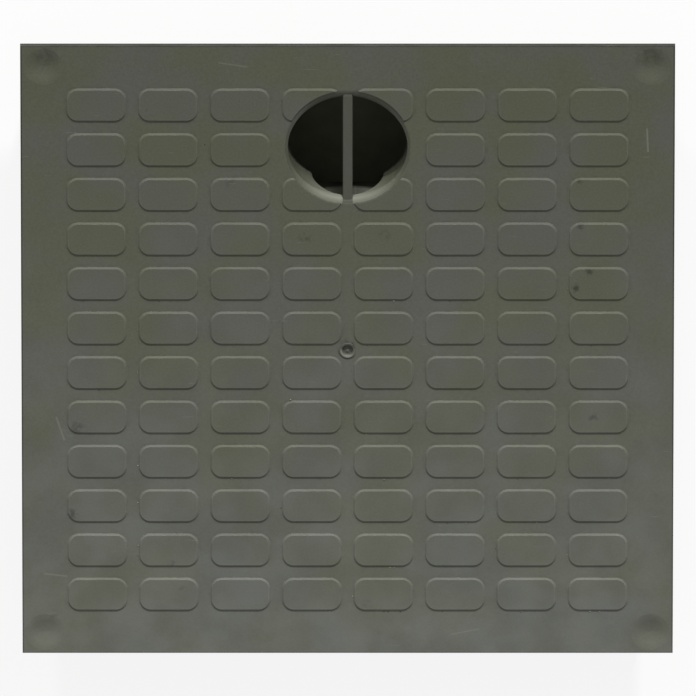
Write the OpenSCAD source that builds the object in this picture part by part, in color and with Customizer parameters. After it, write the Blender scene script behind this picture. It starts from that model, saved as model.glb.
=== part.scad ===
// Square plastic manhole cover, moulded in one piece
// The origin is on the surface the cover stands on, under its centre. The hand hole lies towards +Y.

/* [Tread plate] */
// Side of the square plate
cover_side = 600; // [560:10:700]
// Height of the plate's surface above the surface that the cover stands on
cover_h = 56; // [46:1:70]
// Thickness of the plate between its pads
plate_t = 5; // [4:0.5:9]
// Bevel along the plate's upper edges
edge_bevel = 0.8; // [0.4:0.1:2]

/* [Tread pads] */
// Length of a pad, across the cover
pad_w = 55.6; // [44:0.2:60]
// Depth of a pad, towards the hand hole
pad_d = 33; // [28:0.2:36]
// Height of a pad above the plate
pad_h = 1; // [0.5:0.25:3]
// Corner radius of a pad at its foot
pad_r = 11; // [8:0.5:13.5]
// Width of the slope round a pad
pad_slope = 1.8; // [1:0.2:4]
// Channel between neighbouring pads in one row
channel_x = 10.3; // [8:0.1:16]
// Channel between neighbouring rows of pads
channel_y = 10.9; // [8:0.1:16]
// Least plain border round the field of pads
border = 40; // [34:1:60]

/* [Hand hole] */
// Width of the oval hand hole below its rim, across the cover
hole_w = 110; // [104:1:114]
// Length of the hand hole below its rim, along the lifting bar
hole_l = 97; // [88:1:104]
// Width of the hole's mouth, where its rim starts to roll down from the plate
mouth_w = 117; // [115:1:124]
// Length of the hole's mouth, along the lifting bar
mouth_l = 112; // [108:1:118]
// Distance from the hand hole's centre to the edge of the plate
hole_inset = 100; // [92:1:120]
// Thickness of the wall that hangs round the hand hole
ring_t = 6; // [4:0.5:8]
// Height of that wall's foot above the surface that the cover stands on
ring_foot = 20; // [12:1:24]
// Width of the notch in the wall at both ends of the lifting bar
notch_w = 66; // [60:1:76]
// Radius in the upper corners of the notch
notch_r = 28; // [8:1:29]

/* [Lifting bar] */
// Width of the bar across the hand hole
bar_w = 9; // [7:0.5:14]
// Drop of the bar's top below the plate's surface
bar_drop = 1.25; // [0.5:0.25:3]
// Radius along the bar's two upper edges
bar_edge_r = 1.2; // [0.5:0.1:2]
// Depth of the bar at the middle of its length
bar_depth = 24; // [16:1:32]
// Radius of the finger arch under the bar
arch_r = 42; // [34:1:44]

/* [Gate mark] */
// Outer diameter of the raised lip round the gate mark
gate_lip_d = 15; // [13:0.5:18]
// Height of the raised lip above the plate
gate_lip_h = 0.5; // [0.3:0.1:1.5]
// Diameter of the gate mark's recess at its mouth
gate_d = 11; // [8:0.5:12]
// Depth of the gate mark's recess below the plate's surface
gate_depth = 1.8; // [1:0.2:3]
// Diameter of the gate mark's recess at its floor
gate_floor_d = 7.6; // [5:0.2:7.8]
// Diameter of the stub left on the recess floor
stub_d = 2.6; // [1.5:0.1:4]
// Height of the stub above the recess floor
stub_h = 0.8; // [0.3:0.1:0.9]

/* [Corner sinks] */
// Diameter of the shallow sink over each corner post
sink_d = 40; // [28:1:40]
// Depth of a sink at its middle
sink_depth = 2.2; // [0.6:0.1:3]
// Distance from a corner post's centre to each edge of the plate
post_inset = 21; // [19:0.5:26]

/* [Underside] */
// Distance from the plate's edge to the skirt, under the plate
skirt_inset = 18; // [15:0.5:20]
// Thickness of the skirt at its foot
skirt_t = 5; // [3:0.5:8]
// Lean of the skirt's outer face over its height
skirt_draft = 3.5; // [0:0.5:6]
// Radius of the post in each corner of the skirt
post_r = 17; // [10:0.5:24]
// Thickness of a rib
rib_t = 3.5; // [2.5:0.5:6]
// Widest clear space between ribs
cell_max = 53; // [40:1:60]
// Gap between the ribs' feet and the surface that the cover stands on
rib_lift = 5; // [2:0.5:10]

/* [Hidden] */
$fn = 64;

// How far a cut runs past the face it opens, and a joined part into its neighbour
over = 1;

half = cover_side / 2;
plate_under = cover_h - plate_t;

pitch_x = pad_w + channel_x;
pitch_y = pad_d + channel_y;
cols = floor((cover_side - 2 * border + channel_x) / pitch_x);
rows = floor((cover_side - 2 * border + channel_y) / pitch_y);

// Run of a pad's slope for each millimetre of height
pad_run = pad_slope / pad_h;

hole_r = hole_w / 2;
hole_y = half - hole_inset;
bar_top = cover_h - bar_drop;

// How far the foot of the rolled rim stays inside the hole at its ends, so that it meets the wall in a clear line
rim_line = 0.5;
// Ratio of the mouth's length to its width, and the radius of the rim's roll across the cover
mouth_ratio = mouth_l / mouth_w;
rim_r = ((mouth_l - hole_l) / 2 + rim_line) / mouth_ratio;

// Distance from the hand hole's centre to the near face of a cross rib, behind the notch
cross_at = hole_l / 2 + ring_t - over;

skirt_foot = half - skirt_inset - skirt_draft;
cell_field = 2 * (skirt_foot - skirt_t);
cells = 2 * ceil((cell_field + rib_t) / (cell_max + rib_t) / 2);
cell_pitch = (cell_field + rib_t) / cells;
cell_side = cell_pitch - rib_t;
post_at = half - post_inset;

// Both arcs of a sink's section, the bowl's and the shoulder's, have this radius and meet halfway
sink_r = sink_d / 2;
sink_arc_r = (sink_r * sink_r + sink_depth * sink_depth) / (4 * sink_depth);
// How far a sink's shoulder rises past the plate's surface, so that it ends in a faint edge
sink_lift = 0.05;

// Half of the cover's outline seen along one edge: plate, ledge and leaning skirt
function edge_profile() = [
    [skirt_foot, 0],
    [half - skirt_inset, plate_under],
    [half, plate_under],
    [half, cover_h - edge_bevel],
    [half - edge_bevel, cover_h]
];

function mirrored(points) = [for (i = [len(points) - 1:-1:0]) [-points[i][0], points[i][1]]];

// Bar of the given length along X, with its section in Y and Z, centred on the Z axis
module along_x(length) {
    rotate([90, 0, 90]) translate([0, 0, -length / 2]) linear_extrude(height = length) children();
}

// The same along Y
module along_y(length) {
    rotate([90, 0, 0]) translate([0, 0, -length / 2]) linear_extrude(height = length) children();
}

// Square block with the same outline along both pairs of edges
module outer_form() {
    outline = concat(edge_profile(), mirrored(edge_profile()));
    intersection() {
        along_x(cover_side) polygon(outline);
        along_y(cover_side) polygon(outline);
    }
}

// Section of a pad across one of its two directions, its slopes carried on below the plate's surface
module pad_section(length) {
    buried = length / 2 + over * pad_run;
    crest = length / 2 - pad_slope;
    polygon([[-buried, -over], [buried, -over], [crest, pad_h], [-crest, pad_h]]);
}

// One tread pad, its foot at z = 0: two crossing bars with a cone in each corner
module pad() {
    inner_w = pad_w / 2 - pad_r;
    inner_d = pad_d / 2 - pad_r;
    along_x(2 * inner_w) pad_section(pad_d);
    along_y(2 * inner_d) pad_section(pad_w);
    for (x = [-inner_w, inner_w], y = [-inner_d, inner_d]) {
        translate([x, y, -over])
            cylinder(h = over + pad_h, r1 = pad_r + over * pad_run, r2 = pad_r - pad_slope);
    }
}

// True where a pad would leave only a sliver beside the hand hole
function pad_swallowed(x, y) = abs(y - hole_y) < pitch_y / 2 && abs(x) < hole_r;

module pads() {
    for (i = [0:cols - 1], j = [0:rows - 1]) {
        x = (i - (cols - 1) / 2) * pitch_x;
        y = (j - (rows - 1) / 2) * pitch_y;
        if (!pad_swallowed(x, y)) translate([x, y, cover_h]) pad();
    }
}

// Oval plan of the hand hole, grown outwards by the given amount
module hole_plan(grow) {
    scale([1, (hole_l + 2 * grow) / (hole_w + 2 * grow)]) circle(r = hole_r + grow);
}

// Half section of the hand hole's mouth, its rim rolled down from the plate
module mouth_half_section() {
    difference() {
        translate([0, cover_h - rim_r]) square([mouth_w / 2, rim_r + pad_h + over]);
        translate([mouth_w / 2, cover_h - rim_r]) circle(r = rim_r);
    }
}

// What the hand hole takes away: an oval wall, and a rounder mouth whose rim is widest at the bar's ends
module hand_hole() {
    translate([0, hole_y, 0]) {
        translate([0, 0, -over]) linear_extrude(height = cover_h + pad_h + 2 * over) hole_plan(0);
        scale([1, mouth_ratio, 1]) rotate_extrude() mouth_half_section();
    }
}

// Space under the foot of the hanging wall, up to the faces of the two cross ribs
module ring_step() {
    translate([0, hole_y, -over]) linear_extrude(height = ring_foot + over) intersection() {
        hole_plan(ring_t);
        square([hole_w + 2 * ring_t, 2 * cross_at], center = true);
    }
}

// Notch through the hanging wall at both ends of the bar, from its foot up to the plate
module ring_notch() {
    side = notch_w / 2;
    shoulder = plate_under - notch_r;
    translate([0, hole_y, 0]) along_y(2 * cross_at) {
        translate([-side, -over]) square([notch_w, shoulder + over]);
        translate([notch_r - side, 0]) square([notch_w - 2 * notch_r, plate_under]);
        for (x = [notch_r - side, side - notch_r]) translate([x, shoulder]) circle(r = notch_r);
    }
}

// Section of the bar, its two upper edges rounded
module bar_section() {
    side = bar_w / 2 - bar_edge_r;
    translate([-bar_w / 2, ring_foot]) square([bar_w, bar_top - bar_edge_r - ring_foot]);
    translate([-side, ring_foot]) square([2 * side, bar_top - ring_foot]);
    for (x = [-side, side]) translate([x, bar_top - bar_edge_r]) circle(r = bar_edge_r);
}

// The bar that a hand grips: a deep web from one cross rib to the other, arched for the fingers
module lifting_bar() {
    translate([0, hole_y, 0]) difference() {
        along_y(2 * (cross_at + over)) bar_section();
        translate([0, 0, bar_top - bar_depth - arch_r]) rotate([0, 90, 0])
            cylinder(h = bar_w + 2 * over, r = arch_r, center = true);
    }
}

// Raised lip round the gate mark, its flank carried on below the plate's surface
module gate_lip() {
    translate([0, 0, cover_h - over])
        cylinder(h = over + gate_lip_h, d1 = gate_lip_d + 2 * over, d2 = gate_lip_d - 2 * gate_lip_h);
}

// Dished recess of the gate mark, open at the top of its lip
module gate_recess() {
    translate([0, 0, cover_h - gate_depth])
        cylinder(h = gate_depth + gate_lip_h, d1 = gate_floor_d, d2 = gate_d);
}

// Stub of the sprue on the recess floor
module gate_stub() {
    translate([0, 0, plate_under + over]) cylinder(h = plate_t - gate_depth + stub_h - over, d = stub_d);
}

// Half section of a sink, the plate's surface at z = 0: a bowl that turns into a rounded shoulder
module sink_half_section() {
    intersection() {
        translate([0, -sink_depth]) square([sink_r / 2, sink_depth + over]);
        translate([0, sink_arc_r - sink_depth]) circle(r = sink_arc_r);
    }
    difference() {
        translate([sink_r / 2, -sink_depth]) square([sink_r / 2, sink_depth + over]);
        translate([sink_r, -sink_arc_r]) circle(r = sink_arc_r);
    }
}

// Shallow sinks in the plate over the four corner posts
module corner_sinks() {
    for (x = [-post_at, post_at], y = [-post_at, post_at])
        translate([x, y, cover_h + sink_lift]) rotate_extrude() sink_half_section();
}

// Plan of the posts in the corners of the skirt
module post_plan() {
    for (x = [-post_at, post_at], y = [-post_at, post_at]) translate([x, y]) circle(r = post_r);
}

// Plan of the wall round the hand hole, and of the two cross ribs that carry the ends of the bar
module grip_plan() {
    translate([0, hole_y]) {
        hole_plan(ring_t);
        for (y = [-cross_at - rib_t / 2, cross_at + rib_t / 2])
            translate([0, y]) square([4 * cell_pitch, rib_t], center = true);
    }
}

// Clear cells between the ribs
module cell_plan() {
    for (i = [0:cells - 1], j = [0:cells - 1])
        translate([(i - (cells - 1) / 2) * cell_pitch, (j - (cells - 1) / 2) * cell_pitch])
            square(cell_side, center = true);
}

// What the underside's cores take away: the cells, and the step under the ribs' feet
module underside_cores() {
    translate([0, 0, -over]) linear_extrude(height = plate_under + over) difference() {
        cell_plan();
        post_plan();
        grip_plan();
    }
    translate([0, 0, -over]) linear_extrude(height = rib_lift + over) difference() {
        square(cell_field, center = true);
        post_plan();
    }
}

module cover() {
    color("#5b5c50") {
        difference() {
            union() {
                outer_form();
                pads();
                gate_lip();
            }
            underside_cores();
            hand_hole();
            ring_step();
            ring_notch();
            gate_recess();
            corner_sinks();
        }
        lifting_bar();
        gate_stub();
    }
}

cover();
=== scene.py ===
"""Looks of a square plastic manhole cover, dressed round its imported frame.

The cover is one moulding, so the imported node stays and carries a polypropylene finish. What is added on
it is what lies on the real one: the torn vestige beside the gate mark, and dried grit.
Everything is in metres, in the frame's own axes: +Z out of the tread, +Y towards the hand hole. Only what
is drawn on the cover or lies on it is given in millimetres, and MM turns it to metres.
"""

import logging
import math
from dataclasses import dataclass
from enum import Enum
from typing import Any

import bpy
import numpy as np
from mathutils import Euler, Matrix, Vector
from numpy.typing import NDArray


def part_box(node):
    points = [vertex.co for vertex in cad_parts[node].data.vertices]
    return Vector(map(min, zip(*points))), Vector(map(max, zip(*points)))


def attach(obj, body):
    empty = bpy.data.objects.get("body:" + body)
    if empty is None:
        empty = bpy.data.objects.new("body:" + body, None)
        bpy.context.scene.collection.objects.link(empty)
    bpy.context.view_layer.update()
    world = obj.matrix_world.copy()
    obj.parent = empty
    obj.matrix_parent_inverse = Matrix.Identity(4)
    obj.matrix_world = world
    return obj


Array = NDArray[np.float64]
Faces = list[list[int]]
Tree = bpy.types.NodeTree

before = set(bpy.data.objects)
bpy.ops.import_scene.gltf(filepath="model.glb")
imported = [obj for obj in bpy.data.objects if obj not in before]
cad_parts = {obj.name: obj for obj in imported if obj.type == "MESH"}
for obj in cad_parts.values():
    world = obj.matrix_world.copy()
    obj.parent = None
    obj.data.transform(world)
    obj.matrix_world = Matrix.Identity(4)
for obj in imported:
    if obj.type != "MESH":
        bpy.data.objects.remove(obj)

LOG = logging.getLogger("manhole_cover")
COVER_NODE = "cover"
BODY = "root"

MM = 0.001
WHITE = (1.0, 1.0, 1.0, 1.0)


def linear(hex_colour: str) -> tuple[float, float, float, float]:
    """Turns an sRGB hex colour into linear RGBA.

    Args:
        hex_colour: Six hex digits after a hash.

    Returns:
        Each channel through the sRGB curve: c / 12.92 below 0.04045, else ((c + 0.055) / 1.055) ** 2.4.
    """
    levels = [int(hex_colour[i : i + 2], 16) / 255 for i in (1, 3, 5)]
    red, green, blue = (c / 12.92 if c <= 0.04045 else ((c + 0.055) / 1.055) ** 2.4 for c in levels)
    return red, green, blue, 1.0


def add_node(
    tree: Tree, kind: str, *inputs: Any, named: dict[Any, Any] | None = None, out: Any = 0, **settings: Any
) -> Any:
    """Adds one shader node with its settings and links.

    Args:
        tree: The node tree.
        kind: The node's Blender type name.
        *inputs: Its first inputs in order. A socket is linked, and any other value is set.
        named: Further inputs, by name or index.
        out: Name or index of the output that the caller goes on with, or None for all of them.
        **settings: Properties of the node, set before its inputs.

    Returns:
        That output socket, or all outputs.
    """
    node = tree.nodes.new(kind)
    for name, value in settings.items():
        setattr(node, name, value)
    for name, value in (dict(enumerate(inputs)) | (named or {})).items():
        if isinstance(value, bpy.types.NodeSocket):
            tree.links.new(value, node.inputs[name])
        else:
            node.inputs[name].default_value = value
    return node.outputs if out is None else node.outputs[out]


def new_material(name: str) -> tuple[bpy.types.Material, Tree]:
    """Makes an empty node material.

    Args:
        name: The material's name.

    Returns:
        The material and its tree.
    """
    material = bpy.data.materials.new(name)
    material.use_nodes = True
    material.node_tree.nodes.clear()
    return material, material.node_tree


def mesh_object(
    name: str, points: Array, faces: Faces, material: bpy.types.Material, smooth: bool
) -> bpy.types.Object:
    """Makes one mesh object at the origin.

    Args:
        name: Name of the object and its mesh.
        points: Vertices in metres, one row each.
        faces: Vertex numbers, one list for each face, counter-clockwise from outside.
        material: What the object is made of.
        smooth: Whether the faces shade smoothly.

    Returns:
        The linked object.
    """
    mesh = bpy.data.meshes.new(name)
    mesh.from_pydata(points.tolist(), [], faces)
    mesh.polygons.foreach_set("use_smooth", np.full(len(mesh.polygons), smooth))
    mesh.materials.append(material)
    mesh.update()
    made = bpy.data.objects.new(name, mesh)
    bpy.context.scene.collection.objects.link(made)
    LOG.info("%s: %d faces", name, len(mesh.polygons))
    return made


def grid_faces(rows: int, columns: int, wrap: bool) -> Array:
    """Quads of a grid of vertices numbered row by row.

    Args:
        rows: Vertices along the first parameter.
        columns: Vertices along the second parameter.
        wrap: Whether the last column joins the first.

    Returns:
        Four vertex numbers a row: (i, j), (i, j+1), (i+1, j+1), (i+1, j).
    """
    i = np.arange(rows - 1)[:, None]
    j = np.arange(columns if wrap else columns - 1)[None, :]
    k = (j + 1) % columns
    low, high = i * columns, (i + 1) * columns
    return np.stack([low + j, low + k, high + k, high + j], axis=-1).reshape(-1, 4)


def closed_tube(rings: Array) -> tuple[Array, Faces]:
    """Closes a tube of rings with one point at each end.

    Args:
        rings: Points by ring and place round it, turning right-handed about the tube's own direction.

    Returns:
        The points with the two end points last. And the faces: quads between rings, triangles at the ends.
    """
    count, around, _ = rings.shape
    points = np.vstack([rings.reshape(-1, 3), rings[0].mean(axis=0), rings[-1].mean(axis=0)])
    here = np.arange(around)
    following = (here + 1) % around
    first = np.column_stack([np.full(around, count * around), following, here])
    top = (count - 1) * around
    last = np.column_stack([np.full(around, count * around + 1), top + here, top + following])
    return points, grid_faces(count, around, wrap=True).tolist() + first.tolist() + last.tolist()


class Side(Enum):
    """The two lamps, by the side of the picture they stand on."""

    LEFT = -1
    RIGHT = 1


class Join(Enum):
    """How shares are joined: ALL where each of them counts, ANY where the largest does."""

    ALL = "MULTIPLY"
    ANY = "MAXIMUM"


@dataclass(frozen=True)
class Place:
    """Where a pattern is looked up: the material's tree, and the place on the cover in millimetres."""

    tree: Tree
    mm: Any
    x: Any
    y: Any
    z: Any


def place_in_mm(tree: Tree) -> Place:
    """Reads Object coordinates in millimetres.

    Args:
        tree: The material's node tree.

    Returns:
        The place, as a vector and by axis.
    """
    metres = add_node(tree, "ShaderNodeTexCoord", out="Object")
    mm = add_node(tree, "ShaderNodeVectorMath", metres, named={3: 1 / MM}, operation="SCALE")
    return Place(tree, mm, *add_node(tree, "ShaderNodeSeparateXYZ", mm, out=None))


def joined(tree: Tree, how: Join, *shares: Any) -> Any:
    """Joins shares from left to right.

    Args:
        tree: The node tree.
        how: Whether each of them counts, or the largest.
        *shares: Sockets or numbers from 0 to 1.

    Returns:
        Their product or their maximum, as a socket.
    """
    whole = shares[0]
    for share in shares[1:]:
        whole = add_node(tree, "ShaderNodeMath", whole, share, operation=how.value)
    return whole


def gap_between(tree: Tree, value: Any, middle: float) -> Any:
    """How far a value lies from a middle.

    Args:
        tree: The node tree.
        value: The socket.
        middle: The middle.

    Returns:
        Socket of |value - middle|.
    """
    off = add_node(tree, "ShaderNodeMath", value, middle, operation="SUBTRACT")
    return add_node(tree, "ShaderNodeMath", off, operation="ABSOLUTE")


@dataclass(frozen=True)
class Fade:
    """A smooth change from one share to another while a value runs from start to stop, with s = 3t^2 - 2t^3.

    Before start it is the first share and past stop the last. Start may be above stop.
    """

    start: float
    stop: float
    first: float = 0.0
    last: float = 1.0

    def over(self, tree: Tree, value: Any) -> Any:
        """Lays the change over a value, and gives its socket."""
        spans = (self.start, self.stop, self.first, self.last)
        return add_node(tree, "ShaderNodeMapRange", value, *spans, interpolation_type="SMOOTHSTEP")


@dataclass(frozen=True)
class Cloud:
    """A cloudy pattern: size of its largest patches in millimetres, octaves, and a shift of its own.

    The noise lies mostly from 0.3 to 0.7, and the fade picks the part of it that counts.
    """

    size: float
    octaves: float
    shift: float
    fade: Fade = Fade(0.3, 0.7)

    def noise(self, tree: Tree, mm: Any) -> Any:
        """The pattern itself, from 0 to 1, moved by its shift so that no two patterns agree.

        Args:
            tree: The node tree.
            mm: Place in millimetres.

        Returns:
            Its socket.
        """
        shift = (self.shift, -self.shift, self.shift / 2)
        moved = add_node(tree, "ShaderNodeVectorMath", mm, shift, operation="ADD")
        inputs = {"Vector": moved, "Scale": 1 / self.size, "Detail": self.octaves}
        return add_node(tree, "ShaderNodeTexNoise", named=inputs)

    def share(self, tree: Tree, mm: Any) -> Any:
        """The pattern through its fade, as a socket."""
        return self.fade.over(tree, self.noise(tree, mm))


@dataclass(frozen=True)
class TreadPattern:
    """Pitches and plan of the tread pads, in millimetres, as the frame has them."""

    pad_w: float = 55.6
    pad_d: float = 33.0
    pad_r: float = 11.0
    pad_h: float = 1.0
    slope: float = 1.8
    pitch_x: float = 65.9
    pitch_y: float = 43.9
    columns: int = 8
    rows: int = 12
    # Middle of the row in which the hand hole takes the place of two pads
    missing_row: float = 197.55
    # Half the height of a pad's cell, above and below the whole cover
    cell_reach: float = 1000.0
    # Added to the distance where there is no pad, so that nothing there counts as a foot
    far: float = 100.0

    def foot_distance(self, at: Place) -> Any:
        """Distance in plan from the foot of the nearest pad, negative on the pad.

        The place is folded into one pad's cell, p = |wrap(xy - pitch / 2)|, and the distance to a rounded
        rectangle is |max(p - (size / 2 - r), 0)| - r.

        Args:
            at: The place.

        Returns:
            Distance socket in millimetres.
        """
        tree = at.tree
        cell = (self.pitch_x / 2, self.pitch_y / 2, self.cell_reach)
        core = (self.pad_w / 2 - self.pad_r, self.pad_d / 2 - self.pad_r, 0.0)
        folded = at.mm
        for operation, *others in (
            ("MULTIPLY", (1.0, 1.0, 0.0)),
            ("SUBTRACT", (*cell[:2], 0.0)),
            ("WRAP", cell, tuple(-side for side in cell)),
            ("ABSOLUTE",),
            ("SUBTRACT", core),
            ("MAXIMUM", (0.0, 0.0, 0.0)),
        ):
            folded = add_node(tree, "ShaderNodeVectorMath", folded, *others, operation=operation)
        length = add_node(tree, "ShaderNodeVectorMath", folded, out="Value", operation="LENGTH")
        foot = add_node(tree, "ShaderNodeMath", length, self.pad_r, operation="SUBTRACT")
        axes = (at.x, at.y)
        across, along = (add_node(tree, "ShaderNodeMath", axis, operation="ABSOLUTE") for axis in axes)
        field = ((across, self.pitch_x * self.columns / 2), (along, self.pitch_y * self.rows / 2))
        border = (add_node(tree, "ShaderNodeMath", *pair, operation="GREATER_THAN") for pair in field)
        two_pads = ((across, self.pitch_x), (gap_between(tree, at.y, self.missing_row), self.pitch_y / 2))
        missing = (add_node(tree, "ShaderNodeMath", *pair, operation="LESS_THAN") for pair in two_pads)
        bare = joined(tree, Join.ANY, *border, joined(tree, Join.ALL, *missing))
        away = joined(tree, Join.ALL, bare, self.far)
        return add_node(tree, "ShaderNodeMath", foot, away, operation="ADD")


@dataclass(frozen=True)
class HandHole:
    """Plan and rim heights of the hand hole, in mm, and its dirt, wear, painted shade and painted light."""

    y: float = 200.0
    half_w: float = 55.0
    half_l: float = 48.5
    rim_foot: float = 52.0
    rim_top: float = 55.9
    # The lifting bar: half of its width and a little more, and its middle and reach along Y
    bar_half: float = 4.7
    bar_middle: float = 197.55
    bar_reach: float = 52.0
    bar_grime: float = 0.3
    # Painted shade ends outside the wall, with 1 on the wall itself, and above the foot of the rim
    shade_plan: Fade = Fade(1.16, 1.1)
    shade_rise: float = 3.0
    # Painted shade on the rolled rim at the mouth's two sides, over this width
    side_width: float = 12.0
    side_shade: float = 0.9
    # Painted shade on the wall, from beside the bar's middle to the bar's ends
    wall_shade: Fade = Fade(20.0, 36.0, 0.45, 0.28)
    # Painted shade on the cross rib that shows this far behind the wall, from left of the bar to right of it,
    # darker on the left as the bar's painted shadow
    rib_gap: float = 3.0
    rib_shade: Fade = Fade(-8.0, 8.0, 0.88, 0.5)
    # Rubbed wear and painted light on the wall and the rim: their reach in plan, with 1 on the wall
    worn_wall: float = 1.05
    worn_rim: float = 1.2
    # Its heights on the wall and about the foot of the rim, and its run along Y towards the bar's end at -Y,
    # where the wall faces the lamps
    wall_rise: Fade = Fade(32.0, 46.0, 0.0, 0.8)
    rim_rise: tuple[float, float] = (-1.0, 2.0)
    end_run: tuple[float, float] = (30.0, 52.0)
    end_rub_and_light: float = 0.28

    def reach(self, at: Place) -> Any:
        """How far a place lies from the hole's middle in plan, with 1 on its wall.

        Args:
            at: The place.

        Returns:
            Socket of |(x / half width, (y - middle) / half length)|.
        """
        off = add_node(at.tree, "ShaderNodeVectorMath", at.mm, (0.0, self.y, 0.0), operation="SUBTRACT")
        shares = (1 / self.half_w, 1 / self.half_l, 0.0)
        plan = add_node(at.tree, "ShaderNodeVectorMath", off, shares, operation="MULTIPLY")
        return add_node(at.tree, "ShaderNodeVectorMath", plan, out="Value", operation="LENGTH")

    def bar_share(self, at: Place) -> Any:
        """Even grime on the lifting bar, where gloves have rubbed it in.

        Args:
            at: The place.

        Returns:
            Share socket, 0 away from the bar.
        """
        across = add_node(at.tree, "ShaderNodeMath", at.x, operation="ABSOLUTE")
        along = gap_between(at.tree, at.y, self.bar_middle)
        limits = ((across, self.bar_half), (along, self.bar_reach))
        within = (add_node(at.tree, "ShaderNodeMath", *pair, operation="LESS_THAN") for pair in limits)
        return joined(at.tree, Join.ALL, *within, self.bar_grime)

    def hole_shade_share(self, at: Place) -> Any:
        """Painted shade on the wall below its rolled rim and on the rim at the mouth's sides, and thicker on
        the cross ribs behind it.

        Args:
            at: The place.

        Returns:
            Share socket, 0 away from the hole.
        """
        tree = at.tree
        inside = self.shade_plan.over(tree, self.reach(at))
        below = Fade(self.rim_foot + self.shade_rise, self.rim_foot).over(tree, at.z)
        across = add_node(tree, "ShaderNodeMath", at.x, operation="ABSOLUTE")
        beside = Fade(self.half_w - self.side_width, self.half_w, 0.0, self.side_shade).over(tree, across)
        under_top = add_node(tree, "ShaderNodeMath", at.z, self.rim_top, operation="LESS_THAN")
        height = joined(tree, Join.ANY, below, joined(tree, Join.ALL, beside, under_top))
        along = gap_between(tree, at.y, self.y)
        behind = add_node(tree, "ShaderNodeMath", along, self.half_l + self.rib_gap, operation="GREATER_THAN")
        # The bar's painted shadow: darker on the rib left of the bar
        thick = joined(tree, Join.ALL, behind, self.rib_shade.over(tree, at.x))
        share = joined(tree, Join.ANY, thick, self.wall_shade.over(tree, along))
        return joined(tree, Join.ALL, inside, height, share)

    def rim_rub_and_light_share(self, at: Place) -> Any:
        """Rubbed wear where hands slide over them, and painted light, on the rolled rim and the top of the
        wall, both at the hole's -Y end, whose wall faces the lamps.

        Args:
            at: The place.

        Returns:
            Share socket, 0 away from the rim.
        """
        tree = at.tree
        across = add_node(tree, "ShaderNodeMath", at.x, operation="ABSOLUTE")
        beside = add_node(tree, "ShaderNodeMath", across, self.bar_half, operation="GREATER_THAN")
        plan = self.reach(at)
        reached, on_wall = (
            add_node(tree, "ShaderNodeMath", plan, limit, operation="LESS_THAN")
            for limit in (self.worn_rim, self.worn_wall)
        )
        inside = joined(tree, Join.ALL, beside, reached)
        above = Fade(*(self.rim_foot + rise for rise in self.rim_rise)).over(tree, at.z)
        upper = joined(tree, Join.ALL, on_wall, self.wall_rise.over(tree, at.z))
        under_top = add_node(tree, "ShaderNodeMath", at.z, self.rim_top, operation="LESS_THAN")
        rolled = joined(tree, Join.ALL, joined(tree, Join.ANY, above, upper), under_top)
        # Kept to the hole's -Y end, whose wall faces the lamps: painted light there
        near = Fade(*(self.y - run for run in self.end_run), 0.0, self.end_rub_and_light).over(tree, at.y)
        return joined(tree, Join.ALL, inside, rolled, near)


@dataclass(frozen=True)
class Smudge:
    """A dark smear on the tread: place and reach in millimetres, strength from 0 to 1."""

    x: float
    y: float
    reach: float
    strength: float
    # Share of its reach over which it is full
    core: float = 0.1
    # Size of the shreds that it is torn into, their octaves, and how sharply they end
    shred_mm: float = 5.0
    octaves: float = 5.0
    torn: Fade = Fade(0.42, 0.6)

    def share(self, at: Place, level: float) -> Any:
        """Share of the smear: its strength at the core, less towards its reach, and torn into shreds.

        Args:
            at: The place.
            level: Height of the smear.

        Returns:
            Share socket.
        """
        middle = (self.x, self.y, level)
        gap = add_node(at.tree, "ShaderNodeVectorMath", at.mm, middle, out="Value", operation="DISTANCE")
        spot = Fade(self.reach, self.reach * self.core, 0.0, self.strength).over(at.tree, gap)
        shreds = Cloud(self.shred_mm, self.octaves, self.x, self.torn)
        return joined(at.tree, Join.ALL, spot, shreds.share(at.tree, at.mm))


# Smudges as they lie on the cover: painted shade in the two top corner sinks, darker patches about the
# gate mark, and dirt against the edges of pads
SMUDGES = (
    # Painted shade in the two top corner sinks
    Smudge(-277, 291, 20, 0.3),
    Smudge(277, 291, 20, 0.3),
    Smudge(-5, 9, 8, 0.35),
    Smudge(-1, 8, 6, 0.6),
    Smudge(-39, 111, 9, 0.45),
    Smudge(34, 114, 8, 0.35),
    Smudge(-107, 165, 9, 0.3),
    Smudge(209, 62, 7, 0.9),
    Smudge(222, 78, 6, 0.75),
    Smudge(226, -66, 7, 0.7),
    Smudge(-254, -161, 8, 0.8),
    Smudge(-162, -211, 5, 0.9),
    Smudge(-152, -237, 6, 0.6),
    Smudge(18, -251, 7, 0.6),
    Smudge(-183, 234, 5, 0.4),
    Smudge(-249, -76, 10, 0.6),
    Smudge(-271, -262, 9, 0.5),
    Smudge(214, 122, 5, 0.7),
    Smudge(212, 166, 6, 0.5),
)


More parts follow.
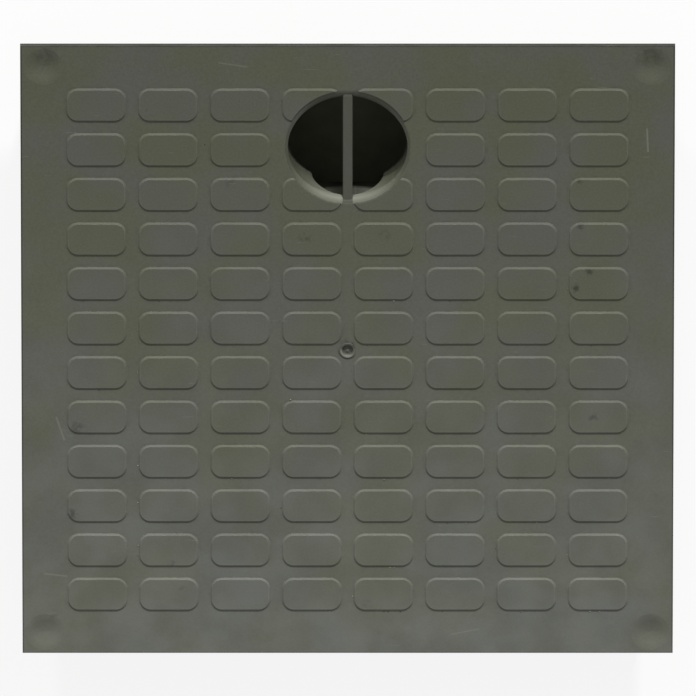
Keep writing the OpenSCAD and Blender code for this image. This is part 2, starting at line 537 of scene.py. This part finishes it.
@dataclass(frozen=True)
class Arc:
    """Painted shade or a painted highlight on part of a ring round the gate mark.

    Radius and reach are in millimetres. It is strongest towards one direction, with a strength from 0 to 1.
    """

    radius: float
    reach: float
    facing_deg: float
    strength: float
    # From where it starts to where it is full, as the cosine of the angle from its direction
    spread: Fade = Fade(-0.1, 0.65)
    # How far below the pads' tops it is drawn, which ends it above the plate's underside
    depth: float = 4.0

    def share(self, at: Place, level: float) -> Any:
        """Share of the arc: its strength, less with the distance from its ring and from its direction.

        Args:
            at: The place.
            level: Height of the pads' tops.

        Returns:
            Share socket, 0 on the plate's underside.
        """
        tree = at.tree
        flat = add_node(tree, "ShaderNodeVectorMath", at.mm, (1.0, 1.0, 0.0), operation="MULTIPLY")
        length = add_node(tree, "ShaderNodeVectorMath", flat, out="Value", operation="LENGTH")
        unit = add_node(tree, "ShaderNodeVectorMath", flat, operation="NORMALIZE")
        facing = math.radians(self.facing_deg)
        towards = (math.cos(facing), math.sin(facing), 0.0)
        aligned = add_node(tree, "ShaderNodeVectorMath", unit, towards, out="Value", operation="DOT_PRODUCT")
        ring = Fade(0.0, self.reach, self.strength, 0.0).over(tree, gap_between(tree, length, self.radius))
        above = add_node(tree, "ShaderNodeMath", at.z, level - self.depth, operation="GREATER_THAN")
        return joined(tree, Join.ALL, ring, self.spread.over(tree, aligned), above)


# Painted shade in the recess's half that faces away from the lamps and on its floor's rim, and a painted
# shadow outside the lip at the lower left
GATE_PAINTED_SHADE = (
    Arc(5.6, 3.8, 100, 0.8),
    Arc(3.9, 1.6, 268, 0.75),
    Arc(8.2, 1.5, 248, 1.0),
)
# A painted highlight on the lip's lower half, which faces the lamps
GATE_PAINTED_HIGHLIGHT = (Arc(6.1, 1.4, 245, 0.5),)


@dataclass(frozen=True)
class Scratch:
    """A pale scratch on the plain border: its two ends and its width in millimetres, strength from 0 to 1."""

    start: tuple[float, float]
    end: tuple[float, float]
    width: float
    strength: float

    def share(self, at: Place, level: float) -> Any:
        """Share of the scratch: its strength on its line, none at its width from it.

        The nearest point of the line is start + clamp((p - start) . d / |d|^2) d, with d = end - start.

        Args:
            at: The place.
            level: Height of the plate's surface.

        Returns:
            Share socket.
        """
        tree = at.tree
        run = (self.end[0] - self.start[0], self.end[1] - self.start[1], 0.0)
        scaled = tuple(part / (run[0] ** 2 + run[1] ** 2) for part in run)
        off = add_node(tree, "ShaderNodeVectorMath", at.mm, (*self.start, level), operation="SUBTRACT")
        part = add_node(tree, "ShaderNodeVectorMath", off, scaled, out="Value", operation="DOT_PRODUCT")
        along = add_node(tree, "ShaderNodeClamp", part)
        near = add_node(tree, "ShaderNodeVectorMath", run, named={3: along}, operation="SCALE")
        gap = add_node(tree, "ShaderNodeVectorMath", off, near, out="Value", operation="DISTANCE")
        return Fade(0.0, self.width, self.strength, 0.0).over(tree, gap)


# Scratches as they lie on the plain border
SCRATCHES = (
    Scratch((274.5, 218.0), (275.5, 196.0), 1.3, 0.3),
    Scratch((-268.0, -66.0), (-261.0, -88.0), 1.4, 0.22),
    Scratch((-279.0, -221.0), (-259.0, -223.5), 1.3, 0.25),
    Scratch((-118.0, 283.0), (-92.0, 279.0), 1.1, 0.16),
    Scratch((96.0, -281.0), (121.0, -276.0), 1.2, 0.2),
)


@dataclass(frozen=True)
class Bump:
    """Relief of a surface: its pattern, its height in millimetres, and how much of it shows."""

    pattern: Cloud
    height: float
    strength: float


# Spark-eroded grain is about 0.3 mm; it is drawn at 0.9 mm, the finest that shows in the picture
GRAIN_MM = 0.9


@dataclass(frozen=True)
class MouldedPolypropylene:
    """Polypropylene, injection moulded in a spark-eroded tool: a dark olive grey with a fine matte grain.

    The grain breaks up the highlight, so the plate reads as flat colour from a step away. On it lie what
    years outdoors leave: pale dust towards one side, grime at the feet of the pads, scuffs and smears.
    Painted shade darkens its edge, the hand hole, the gate mark, the top corner sinks and the pads' feet,
    and painted light brightens the pads' crests, the gate mark's lip and the hand hole's rim at -Y.
    years outdoors leave: pale dust towards one side, grime at the feet of the pads, scuffs and smears.
    """

    tread: TreadPattern = TreadPattern()
    hole: HandHole = HandHole()
    base: str = "#4b4c45"
    base_green: str = "#494b3c"
    dust: str = "#a2a5a3"
    # Dark colour of grime, also laid on as painted shade
    grime_and_shade: str = "#23241d"
    # Pale colour of rubbed wear and of the grain's speckle, also laid on as painted highlight and painted
    # light
    rubbed_and_lit: str = "#8d8e81"
    ior: float = 1.49
    specular: float = 0.22
    # Pigment: greener patches, and the speckle of the grain
    green_patches: Cloud = Cloud(70.0, 3.0, 11.0, Fade(0.35, 0.65))
    speckle: Cloud = Cloud(GRAIN_MM * 2, 2.0, 5.0, Fade(0.3, 0.7, 0.0, 0.05))
    # Painted shade along the plate's edge, as two distances in from it, and grime and painted shade on a
    # broken line at the pads' feet
    edge_shade: tuple[float, float] = (1.8, 0.7)
    foot_line: float = 0.8
    foot_grime_and_shade: Fade = Fade(0.0, 2.6, 0.14, 0.0)
    foot_breaks: Cloud = Cloud(9.0, 4.0, 31.0, Fade(0.42, 0.66, 0.1, 1.0))
    # Dust: its share at the edge away from the hand hole, how fast it thins, and the slopes that hold it
    dust_share: float = 0.15
    dust_power: float = 1.6
    dust_clouds: Cloud = Cloud(45.0, 5.0, 71.0, Fade(0.3, 0.7, 0.7, 1.3))
    dust_slope: Fade = Fade(0.2, 0.9)
    # Wear and a painted highlight on the pads' crests in patches, and wear in scuffs, which are streaks
    # turned from X
    crest_wear_and_highlight: Fade = Fade(0.0, 0.9, 0.1, 0.0)
    crest_patches: Cloud = Cloud(17.0, 3.0, 47.0, Fade(0.4, 0.62, 0.2, 1.0))
    scuffs: Cloud = Cloud(26.0, 4.0, 3.0, Fade(0.7, 0.77, 0.0, 0.22))
    scuff_turn: float = 0.6
    scuff_stretch: float = 16.0
    # Roughness, from 0.52 to 0.66, and how much smoother a rubbed place is
    matte: Cloud = Cloud(30.0, 4.0, 19.0, Fade(0.3, 0.7, 0.52, 0.66))
    rubbed_smooth: float = 0.2
    # Relief: the slow waves of a large moulding, and the grain
    relief: tuple[Bump, ...] = (
        Bump(Cloud(110.0, 1.0, 83.0), 0.9, 1.0),
        Bump(Cloud(GRAIN_MM, 2.0, 61.0), 0.06, 0.35),
    )

    def build(self) -> bpy.types.Material:
        """Builds the material.

        Returns:
            A material that reads Object coordinates, in millimetres from the cover's middle.
        """
        material, tree = new_material("polypropylene_injection_moulded")
        at = place_in_mm(tree)
        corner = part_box(COVER_NODE)[1]
        half_side, level = corner.x / MM, corner.z / MM
        foot = self.tread.foot_distance(at)
        worn_and_lit = self._worn_and_lit(at, foot, level)
        colour: Any = linear(self.base)
        for share, layer in (
            (self.green_patches.share(tree, at.mm), self.base_green),
            (self.speckle.share(tree, at.mm), self.rubbed_and_lit),
            (self._grime_and_shade(at, foot, half_side, level), self.grime_and_shade),
            (self._dusty(at, half_side), self.dust),
            (worn_and_lit, self.rubbed_and_lit),
        ):
            inputs = {6: colour, 7: linear(layer)}
            colour = add_node(tree, "ShaderNodeMix", share, named=inputs, out=2, data_type="RGBA")
        smoother = joined(tree, Join.ALL, worn_and_lit, self.rubbed_smooth)
        matte = self.matte.share(tree, at.mm)
        surface = {
            "Base Color": colour,
            "Roughness": add_node(tree, "ShaderNodeMath", matte, smoother, operation="SUBTRACT"),
            "IOR": self.ior,
            "Specular IOR Level": self.specular,
            "Normal": self._normal(at),
        }
        shader = add_node(tree, "ShaderNodeBsdfPrincipled", named=surface)
        add_node(tree, "ShaderNodeOutputMaterial", shader, out=None)
        return material

    def _grime_and_shade(self, at: Place, foot: Any, half_side: float, level: float) -> Any:
        """Grime and painted shade at the pads' feet, grime on the lifting bar and in most smears, and painted
        shade on the plate's outer edge, in the hand hole, in the gate mark and in the top corner sinks.

        Args:
            at: The place.
            foot: Distance from the nearest pad's foot.
            half_side: Half of the cover's side.
            level: Height of the pads' tops.

        Returns:
            Share socket.
        """
        tree = at.tree
        # Painted shade along the plate's edge, then grime and painted shade on a broken line at the pads'
        # feet
        sides = (add_node(tree, "ShaderNodeMath", axis, operation="ABSOLUTE") for axis in (at.x, at.y))
        edge = Fade(*(half_side - gap for gap in self.edge_shade)).over(tree, joined(tree, Join.ANY, *sides))
        line = self.foot_grime_and_shade.over(tree, gap_between(tree, foot, self.foot_line))
        broken = joined(tree, Join.ALL, line, self.foot_breaks.share(tree, at.mm))
        # Grime on the lifting bar, and painted shade in the hand hole
        hole = (self.hole.bar_share(at), self.hole.hole_shade_share(at))
        # Painted shade in the gate mark and the top corner sinks, darker patches by the gate mark, and dirt
        # in the other smudges
        marks = (mark.share(at, level) for mark in (*GATE_PAINTED_SHADE, *SMUDGES))
        return joined(tree, Join.ANY, edge, broken, *hole, *marks)

    def _dusty(self, at: Place, half_side: float) -> Any:
        """Dust on what faces up: share * ((half side - y) / side) ** power, in clouds.

        Args:
            at: The place.
            half_side: Half of the cover's side.

        Returns:
            Share socket.
        """
        tree = at.tree
        away = add_node(tree, "ShaderNodeMath", half_side, at.y, operation="SUBTRACT")
        along = add_node(tree, "ShaderNodeMath", away, half_side * 2, operation="DIVIDE")
        settled = add_node(
            tree, "ShaderNodeMath", joined(tree, Join.ANY, along, 0.0), self.dust_power, operation="POWER"
        )
        clouds = self.dust_clouds.share(tree, at.mm)
        facing = add_node(tree, "ShaderNodeNewGeometry", out="Normal")
        upwards = add_node(tree, "ShaderNodeSeparateXYZ", facing, out=2)
        return joined(tree, Join.ALL, settled, self.dust_share, clouds, self.dust_slope.over(tree, upwards))

    def _worn_and_lit(self, at: Place, foot: Any, level: float) -> Any:
        """Wear and painted highlight on the pads' crests, rubbed wear and painted light on the hole's rim at
        -Y, a painted highlight on the gate mark's lip, and scuffs and scratches.

        Args:
            at: The place.
            foot: Distance from the nearest pad's foot.
            level: Height of the pads' tops.

        Returns:
            Share socket.
        """
        tree = at.tree
        # Wear and a painted highlight on the pads' crests
        crest = self.crest_wear_and_highlight.over(tree, gap_between(tree, foot, -self.tread.slope))
        crests = joined(tree, Join.ALL, crest, self.crest_patches.share(tree, at.mm))
        turn, stretch = (0.0, 0.0, self.scuff_turn), (1.0, self.scuff_stretch, 1.0)
        streaked = add_node(tree, "ShaderNodeMapping", at.mm, named={"Rotation": turn, "Scale": stretch})
        # A painted highlight on the gate mark's lip
        rubbed_and_lit = (mark.share(at, level) for mark in GATE_PAINTED_HIGHLIGHT)
        lines = (mark.share(at, level - self.tread.pad_h) for mark in SCRATCHES)
        scuffs = self.scuffs.share(tree, streaked)
        return joined(tree, Join.ANY, crests, scuffs, self.hole.rim_rub_and_light_share(at), *rubbed_and_lit, *lines)

    def _normal(self, at: Place) -> Any:
        """Lays the fine relief over the coarse.

        Args:
            at: The place.

        Returns:
            Normal socket.
        """
        inputs: dict[str, Any] = {}
        for bump in self.relief:
            inputs |= {"Height": bump.pattern.noise(at.tree, at.mm), "Strength": bump.strength}
            inputs["Distance"] = bump.height * MM
            inputs["Normal"] = add_node(at.tree, "ShaderNodeBump", named=inputs)
        return inputs["Normal"]


@dataclass(frozen=True)
class DriedGrit:
    """Silt and sand that dried on the plate: dull, from nearly black to pale grey, with no gloss at all."""

    dark: str = "#2f2e27"
    pale: str = "#8a877a"
    roughness: float = 0.95
    specular: float = 0.2
    tone_mm: float = 40.0
    octaves: float = 2.0
    # The part of the noise over which the tone goes from dark to pale
    tones: tuple[float, float] = (0.42, 0.6)

    def build(self) -> bpy.types.Material:
        """Builds the grit's material.

        Returns:
            A material whose tone changes from crumb to crumb.
        """
        material, tree = new_material("silt_and_sand_dried")
        place = add_node(tree, "ShaderNodeTexCoord", out="Object")
        pattern = {"Vector": place, "Scale": 1 / (self.tone_mm * MM), "Detail": self.octaves}
        noise = add_node(tree, "ShaderNodeTexNoise", named=pattern)
        tone = add_node(tree, "ShaderNodeMapRange", noise, *self.tones)
        colours = {6: linear(self.dark), 7: linear(self.pale)}
        tint = add_node(tree, "ShaderNodeMix", tone, named=colours, out=2, data_type="RGBA")
        surface = {"Base Color": tint, "Roughness": self.roughness, "Specular IOR Level": self.specular}
        shader = add_node(tree, "ShaderNodeBsdfPrincipled", named=surface)
        add_node(tree, "ShaderNodeOutputMaterial", shader, out=None)
        return material


@dataclass
class GateVestige:
    """Curl of plastic that tore away with the gate, along the upper right of the gate mark's lip."""

    ring: float = 6.9
    lift_off: float = 3.4
    start_deg: float = 10.0
    end_deg: float = 68.0
    thickness: float = 0.9
    middle_height: float = 56.4
    # How far the curl wavers and how often, how lumpy it is and how often, and how blunt its ends are
    waver: float = 0.2
    waver_rate: float = 8.0
    lump: float = 0.15
    lump_rate: float = 21.0
    bluntness: float = 0.6
    end_share: float = 0.02
    steps: int = 56
    around: int = 14

    def build(self, material: bpy.types.Material) -> bpy.types.Object:
        """Builds the curl as a tube carried along the lip.

        With t from 0 to 1 along the lip, the tube's middle is ring + lift_off t^2 + waver sin(8t) mm from the
        gate's middle, and its radius is thickness / 2 * sin(pi t) ** bluntness * (1 + lump sin(21t)).

        Args:
            material: The moulding's own material.

        Returns:
            The curl, riding on the cover.
        """
        t = np.linspace(self.end_share, 1 - self.end_share, self.steps)[:, None]
        turn = np.linspace(0.0, 2 * np.pi, self.around, endpoint=False)[None, :]
        angle = np.radians(self.start_deg + (self.end_deg - self.start_deg) * t)
        ring = self.ring + self.lift_off * t**2 + self.waver * np.sin(self.waver_rate * t)
        lumps = 1 + self.lump * np.sin(self.lump_rate * t)
        radius = self.thickness / 2 * np.sin(np.pi * t) ** self.bluntness * lumps
        out = ring + radius * np.cos(turn)
        rise = self.middle_height + radius * np.sin(-turn)
        rings = np.stack([out * np.cos(angle), out * np.sin(angle), rise], axis=-1) * MM
        points, faces = closed_tube(rings)
        curl = mesh_object("gate_vestige", points, faces, material, smooth=True)
        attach(curl, BODY)
        return curl


@dataclass(frozen=True)
class Crumb:
    """A crumb of grit: place and reach in millimetres."""

    x: float
    y: float
    reach: float


# Crumbs that show singly, at the feet and on the crests of pads
CRUMBS = (
    Crumb(213.6, 100.5, 0.9),
    Crumb(216.0, 98.9, 0.6),
    Crumb(-52.6, -48.6, 0.9),
    Crumb(-131.0, 203.0, 0.5),
    Crumb(33.5, -128.0, 0.6),
)


@dataclass
class Grit:
    """Dried crumbs of silt that lie on the plate, most of them at the feet of the pads."""

    tread: TreadPattern = TreadPattern()
    scattered: int = 60
    plate_top: float = 56.0
    highest: float = 56.95
    # Rows towards the hand hole that get none, and how many of the crumbs lie along a pad's lower side
    clean_rows: int = 4
    lower_share: float = 0.7
    foot_gap: float = 0.6
    reaches: tuple[float, float] = (0.25, 0.6)
    # How uneven a crumb is, how flat, and how high its middle lies, the last two as shares of its reach
    uneven: float = 0.25
    flatness: float = 0.7
    lift: float = 0.15
    seed: int = 11
    rings: int = 5
    around: int = 8

    def places(self) -> tuple[Array, Array]:
        """Middles and reaches of the crumbs, in millimetres.

        Returns:
            One row of X and Y for each crumb: first the single ones, then scattered ones. These lie 0.6 mm
            outside the foot of a pad, at a random place along its lower or left side. And their reaches.
        """
        draw = np.random.default_rng(self.seed)
        tread = self.tread
        column = draw.integers(0, tread.columns, self.scattered) - (tread.columns - 1) / 2
        row = draw.integers(0, tread.rows - self.clean_rows, self.scattered) - (tread.rows - 1) / 2
        lower = draw.random(self.scattered) < self.lower_share
        along = draw.uniform(-0.5, 0.5, self.scattered)
        foot_x = tread.pad_w / 2 + self.foot_gap
        foot_y = tread.pad_d / 2 + self.foot_gap
        x = column * tread.pitch_x + np.where(lower, along * (tread.pad_w - 2 * tread.pad_r), -foot_x)
        y = row * tread.pitch_y + np.where(lower, -foot_y, along * (tread.pad_d - 2 * tread.pad_r))
        reach = draw.uniform(*self.reaches, self.scattered)
        single = np.array([[crumb.x, crumb.y, crumb.reach] for crumb in CRUMBS])
        return np.vstack([single[:, :2], np.column_stack([x, y])]), np.concatenate([single[:, 2], reach])

    def build(self) -> bpy.types.Object:
        """Builds all crumbs as one mesh.

        Each is a ball of radius r (1 + uneven sin(3u + a) cos(2v + b)), with u round it, v up it and a, b its
        own. It is flattened, its middle lies a little above the plate, and its lower part in the plate.

        Returns:
            The grit, riding on the cover.
        """
        middles, reach = self.places()
        draw = np.random.default_rng(self.seed + 1)
        shift = draw.uniform(0, 2 * np.pi, (2, len(reach), 1, 1))
        v = (np.pi * (np.arange(self.rings) + 1) / (self.rings + 1))[None, :, None]
        u = np.linspace(0, 2 * np.pi, self.around, endpoint=False)[None, None, :]
        wobble = 1 + self.uneven * np.sin(3 * u + shift[0]) * np.cos(2 * v + shift[1])
        radius = reach[:, None, None] * wobble
        x = middles[:, 0, None, None] + radius * np.sin(v) * np.cos(u)
        y = middles[:, 1, None, None] + radius * np.sin(v) * np.sin(u)
        z = self.plate_top + self.lift * reach[:, None, None] - self.flatness * radius * np.cos(v)
        blobs = np.stack([x, y, np.minimum(z, self.highest)], axis=-1) * MM
        parts = [closed_tube(blob) for blob in blobs]
        step = len(parts[0][0])
        faces = [[place + i * step for place in face] for i, (_, shell) in enumerate(parts) for face in shell]
        points = np.vstack([corners for corners, _ in parts])
        grit = mesh_object("dried_grit", points, faces, DriedGrit().build(), smooth=True)
        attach(grit, BODY)
        return grit


def seen_directly(tree: Tree) -> Any:
    """Is Camera, Glossy or Transmission Ray, as one socket.

    Args:
        tree: The node tree.

    Returns:
        1 where the ray comes from the camera or through a reflection or refraction, else 0.
    """
    path = add_node(tree, "ShaderNodeLightPath", out=None)
    rays = (path[f"Is {ray} Ray"] for ray in ("Camera", "Glossy", "Transmission"))
    return joined(tree, Join.ANY, *rays)


@dataclass(frozen=True)
class PaintedFloor:
    """Matt white studio floor: pale to the eye, with a soft shadow of the cover."""

    colour: str = "#f4f4f2"
    glow: float = 0.86

    def build(self) -> bpy.types.Material:
        """Builds the floor's material.

        Returns:
            A diffuse white. Where the camera or a reflection sees it, most of it is plain white.
        """
        material, tree = new_material("studio_floor_paint")
        paint = add_node(tree, "ShaderNodeBsdfDiffuse", linear(self.colour))
        white = add_node(tree, "ShaderNodeEmission", WHITE, 1.0)
        share = joined(tree, Join.ALL, seen_directly(tree), self.glow)
        mixed = add_node(tree, "ShaderNodeMixShader", share, paint, white)
        add_node(tree, "ShaderNodeOutputMaterial", mixed, out=None)
        return material


@dataclass(frozen=True)
class ShaftConcrete:
    """Concrete of the shaft that the cover closes: rough and dull, seen only through the hand hole."""

    colour: str = "#8f9179"
    damp: str = "#6c6e58"
    roughness: float = 0.9
    mottle_mm: float = 20.0
    octaves: float = 4.0

    def build(self) -> bpy.types.Material:
        """Builds the shaft's material.

        Returns:
            A dull material, mottled with damp patches.
        """
        material, tree = new_material("concrete_cast")
        place = add_node(tree, "ShaderNodeTexCoord", out="Object")
        pattern = {"Vector": place, "Scale": 1 / (self.mottle_mm * MM), "Detail": self.octaves}
        mottle = add_node(tree, "ShaderNodeTexNoise", named=pattern)
        colours = {6: linear(self.colour), 7: linear(self.damp)}
        tint = add_node(tree, "ShaderNodeMix", mottle, named=colours, out=2, data_type="RGBA")
        surface = {"Base Color": tint, "Roughness": self.roughness}
        shader = add_node(tree, "ShaderNodeBsdfPrincipled", named=surface)
        add_node(tree, "ShaderNodeOutputMaterial", shader, out=None)
        return material


@dataclass
class Stage:
    """Floor with an open shaft under the cover, as a cover has in use. It isn't part of the object."""

    floor_half: float = 12.0
    shaft_half: float = 0.262
    shaft_depth: float = 0.08
    level: float = -0.0004

    def square(self, half: float, height: float) -> Array:
        """Corners of a level square, counter-clockwise from above.

        Args:
            half: Half of its side.
            height: Its height.

        Returns:
            Four points, one row each.
        """
        turn = np.array([[-1.0, -1.0], [1.0, -1.0], [1.0, 1.0], [-1.0, 1.0]])
        return np.column_stack([turn * half, np.full(len(turn), height)])

    def build(self) -> list[bpy.types.Object]:
        """Builds the floor and the shaft.

        Returns:
            The two stage objects: a square ring, and four walls with a bottom.
        """
        edge = self.square(self.shaft_half, self.level)
        start = np.arange(len(edge))
        end = (start + 1) % len(edge)
        band = np.column_stack([start, end, end + len(edge), start + len(edge)])
        ring = np.vstack([self.square(self.floor_half, self.level), edge])
        floor = mesh_object("studio_floor", ring, band.tolist(), PaintedFloor().build(), smooth=False)
        bottom = self.square(self.shaft_half, self.level - self.shaft_depth)
        sides = np.vstack([band, [start + len(edge)]]).tolist()
        shaft = mesh_object("shaft", np.vstack([edge, bottom]), sides, ShaftConcrete().build(), smooth=False)
        return [floor, shaft]


@dataclass
class Studio:
    """Two low lamps beyond the hand hole and an even sky."""

    elevation_deg: float = 21.0
    azimuth_deg: float = 14.0
    right_strength: float = 3.8
    left_strength: float = 1.7
    lamp_angle_deg: float = 5.0
    sky: float = 0.36

    def lamp(self, side: Side, strength: float) -> bpy.types.Object:
        """Adds one lamp.

        Args:
            side: Which side it stands on.
            strength: Its irradiance on a surface that faces it.

        Returns:
            A sun that shines from over the hand hole's edge, turned by the azimuth to its side.
        """
        data = bpy.data.lights.new(f"lamp_{side.name.lower()}", "SUN")
        data.energy = strength
        data.angle = math.radians(self.lamp_angle_deg)
        lamp = bpy.data.objects.new(data.name, data)
        around = math.radians(self.azimuth_deg) * side.value
        up = math.radians(self.elevation_deg)
        towards = Vector((math.sin(around) * math.cos(up), math.cos(around) * math.cos(up), math.sin(up)))
        lamp.rotation_euler = towards.to_track_quat("Z", "Y").to_euler()
        bpy.context.scene.collection.objects.link(lamp)
        return lamp

    def build(self) -> bpy.types.World:
        """Adds both lamps and the sky.

        Returns:
            The sky, which the camera and reflections see as plain white.
        """
        self.lamp(Side.RIGHT, self.right_strength)
        self.lamp(Side.LEFT, self.left_strength)
        world = bpy.data.worlds.new("even_sky")
        world.use_nodes = True
        tree = world.node_tree
        tree.nodes.clear()
        ends = {"To Min": self.sky, "To Max": 1.0}
        level = add_node(tree, "ShaderNodeMapRange", seen_directly(tree), named=ends)
        sky = add_node(tree, "ShaderNodeBackground", WHITE, level)
        add_node(tree, "ShaderNodeOutputWorld", sky, out=None)
        bpy.context.scene.world = world
        return world


@dataclass
class PhotoCamera:
    """Long lens from the hand hole's side, so that the square plate fills a true rectangle of the picture.

    The plate's surface is 652.6 by 607.7 px in a picture 696 px wide, so the tilt is acos(607.7 / 652.6).
    """

    picture_px: float = 696.0
    plate_px: float = 652.6
    depth_px: float = 607.7
    centre_px: tuple[float, float] = (347.65, 350.9)
    distance: float = 28.0
    sensor_mm: float = 36.0
    # How far the camera sees, as a share of its distance
    sight: float = 1.5

    def build(self) -> bpy.types.Object:
        """Places the camera and makes it the scene's.

        Returns:
            The camera, looking at the middle of the tread, with +Y up in the picture.
        """
        low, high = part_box(COVER_NODE)
        side = high.x - low.x
        tilt = math.acos(self.depth_px / self.plate_px)
        view_width = side * self.picture_px / self.plate_px
        data = bpy.data.cameras.new("photo_camera")
        data.sensor_width = self.sensor_mm
        data.lens = self.sensor_mm * self.distance / view_width
        data.shift_x = (self.picture_px / 2 - self.centre_px[0]) / self.picture_px
        data.shift_y = (self.centre_px[1] - self.picture_px / 2) / self.picture_px
        data.clip_end = self.distance * self.sight
        camera = bpy.data.objects.new("photo_camera", data)
        middle = Vector(((low.x + high.x) / 2, (low.y + high.y) / 2, high.z))
        camera.location = middle + self.distance * Vector((0.0, math.sin(tilt), math.cos(tilt)))
        camera.rotation_euler = Euler((-tilt, 0.0, 0.0))
        bpy.context.scene.collection.objects.link(camera)
        bpy.context.scene.camera = camera
        return camera


def main() -> None:
    """Builds the camera, the stage, the lights and the cover's dress in order."""
    logging.basicConfig(level=logging.INFO, format="%(name)s: %(message)s")
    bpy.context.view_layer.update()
    PhotoCamera().build()
    Stage().build()
    LOG.info("lit by %s", Studio().build().name)
    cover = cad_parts[COVER_NODE]
    plastic = MouldedPolypropylene().build()
    for slot in cover.material_slots:
        slot.material = plastic
    LOG.info("%s: %d faces, dressed in %s", COVER_NODE, len(cover.data.polygons), plastic.name)
    GateVestige().build(plastic)
    Grit().build()
    bpy.context.scene.view_settings.view_transform = "Standard"


if __name__ == "__main__":
    main()
